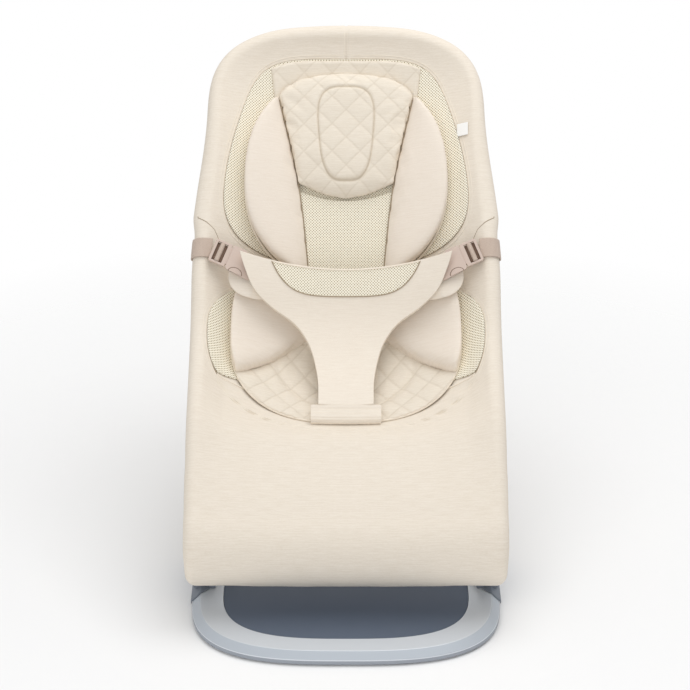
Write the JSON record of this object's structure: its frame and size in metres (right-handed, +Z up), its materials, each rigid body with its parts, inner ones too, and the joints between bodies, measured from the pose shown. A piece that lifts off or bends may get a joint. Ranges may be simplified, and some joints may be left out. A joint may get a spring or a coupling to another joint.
{
  "type": "baby bouncer",
  "caption": "Baby bouncer: a padded fabric sling on a bent tube frame, with a buckled front harness, hinged by lockable recline joints to a flat base ring.",
  "frame": {"origin": "middle of the footprint, on the floor", "axes": "+Z up, +X to the right seen from the foot end, -Y towards the foot end"},
  "size_m": [0.3998, 0.6109, 0.6169],
  "materials": {
    "base_ring": "satin powder coat",
    "base_panel": "matte, fine texture",
    "rubber": "matte",
    "hinge": "matte",
    "button": "matte",
    "steel": "plain",
    "tube": "satin powder coat",
    "cover_fabric": "heathered weave",
    "mesh_fabric": "knitted spacer mesh",
    "insert_fabric": "soft jersey, partly quilted",
    "harness_fabric": "soft jersey",
    "webbing": "woven webbing",
    "buckle": "moulded",
    "label": "blank woven tab"
  },
  "bodies": {
    "base": {"base_ring": "base_ring", "base_panel": "base_panel", "foot_front_left": "rubber", "foot_front_right": "rubber", "foot_rear_left": "rubber", "foot_rear_right": "rubber", "hinge_inner_shell_left": "hinge", "hinge_inner_shell_right": "hinge", "hinge_outer_shell_left": "hinge", "hinge_outer_shell_right": "hinge", "hinge_pin_left": "steel", "hinge_pin_right": "steel", "lock_spring_left": "steel", "lock_spring_right": "steel"},
    "seat": {"seat_hub_left": "tube", "seat_hub_right": "tube", "lower_rail_left": "tube", "lower_rail_right": "tube", "head_tube": "tube", "seat_cover": "cover_fabric", "upper_mesh": "mesh_fabric", "lower_mesh": "mesh_fabric", "back_panel": "mesh_fabric", "upper_wing_left": "insert_fabric", "upper_wing_right": "insert_fabric", "lower_wing_left": "insert_fabric", "lower_wing_right": "insert_fabric", "head_pillow": "insert_fabric", "seat_pad": "insert_fabric", "crotch_band": "harness_fabric", "strap_left": "webbing", "strap_right": "webbing", "side_tab": "label"},
    "harness": {"harness": "harness_fabric", "buckle_socket_left": "buckle", "buckle_socket_right": "buckle"},
    "tongue_left": {"buckle_tongue_left": "buckle"},
    "button_left": {"recline_button_left": "button"},
    "tongue_right": {"buckle_tongue_right": "buckle"},
    "button_right": {"recline_button_right": "button"}
  },
  "joints": [
    {"name": "seat_recline", "type": "hinge", "parent": "base", "child": "seat", "pos_m": [0, -0.09345, 0.05], "axis": [1, 0, 0], "range_deg": [-44, 0]},
    {"name": "harness_open", "type": "hinge", "parent": "seat", "child": "harness", "pos_m": [0, -0.03689, 0.22174], "axis": [1, 0, 0], "range_deg": [0, 110]},
    {"name": "button_left", "type": "slide", "parent": "base", "child": "button_left", "axis": [1, 0, 0], "range_m": [0, 0.0025], "stiffness_N_per_m": 600, "springref_m": -0.004, "deforming": ["lock_spring_left"]},
    {"name": "tongue_left", "type": "slide", "parent": "seat", "child": "tongue_left", "axis": [-0.9158, 0.118, 0.384], "range_m": [0, 0.022], "deforming": ["strap_left"]},
    {"name": "button_right", "type": "slide", "parent": "base", "child": "button_right", "axis": [-1, 0, 0], "range_m": [0, 0.0025], "stiffness_N_per_m": 600, "springref_m": -0.004, "deforming": ["lock_spring_right"]},
    {"name": "tongue_right", "type": "slide", "parent": "seat", "child": "tongue_right", "axis": [0.9158, 0.118, 0.384], "range_m": [0, 0.022], "deforming": ["strap_right"]}
  ]
}
